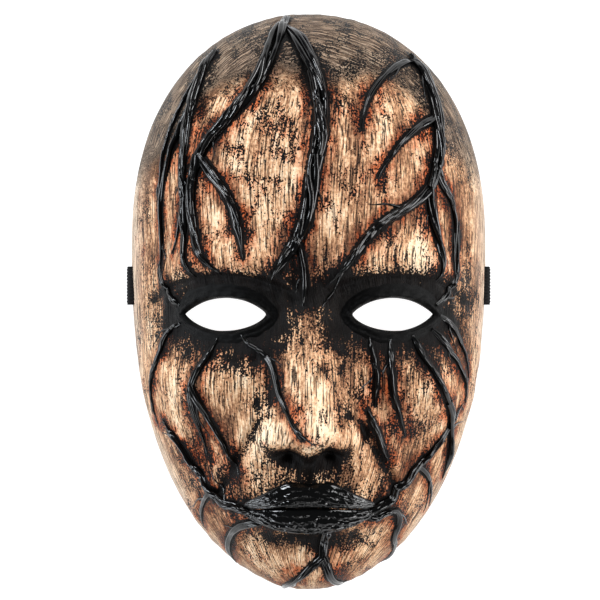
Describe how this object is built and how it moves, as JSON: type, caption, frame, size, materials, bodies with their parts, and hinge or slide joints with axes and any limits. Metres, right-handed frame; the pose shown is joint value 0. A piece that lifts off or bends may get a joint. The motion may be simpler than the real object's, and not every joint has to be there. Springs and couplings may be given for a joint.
{
  "type": "monster mask",
  "caption": "thin moulded face mask overgrown by relief roots, with almond eye holes and a flat elastic head strap threaded through a slot in each side",
  "frame": {"origin": "under the middle of the mask's box, on the surface that the mask lies on; the strap isn't counted", "axes": "+X to the viewer's right, +Y towards the crown, +Z out of the face"},
  "size_m": [0.1522, 0.24, 0.0931],
  "materials": {
    "painted_shell": "tan paint streaked like wood, with glossy black roots and lips",
    "elastic": "black woven ribbed elastic"
  },
  "bodies": {
    "root": {"mask_shell": "painted_shell", "elastic_strap": "elastic"}
  },
  "joints": []
}
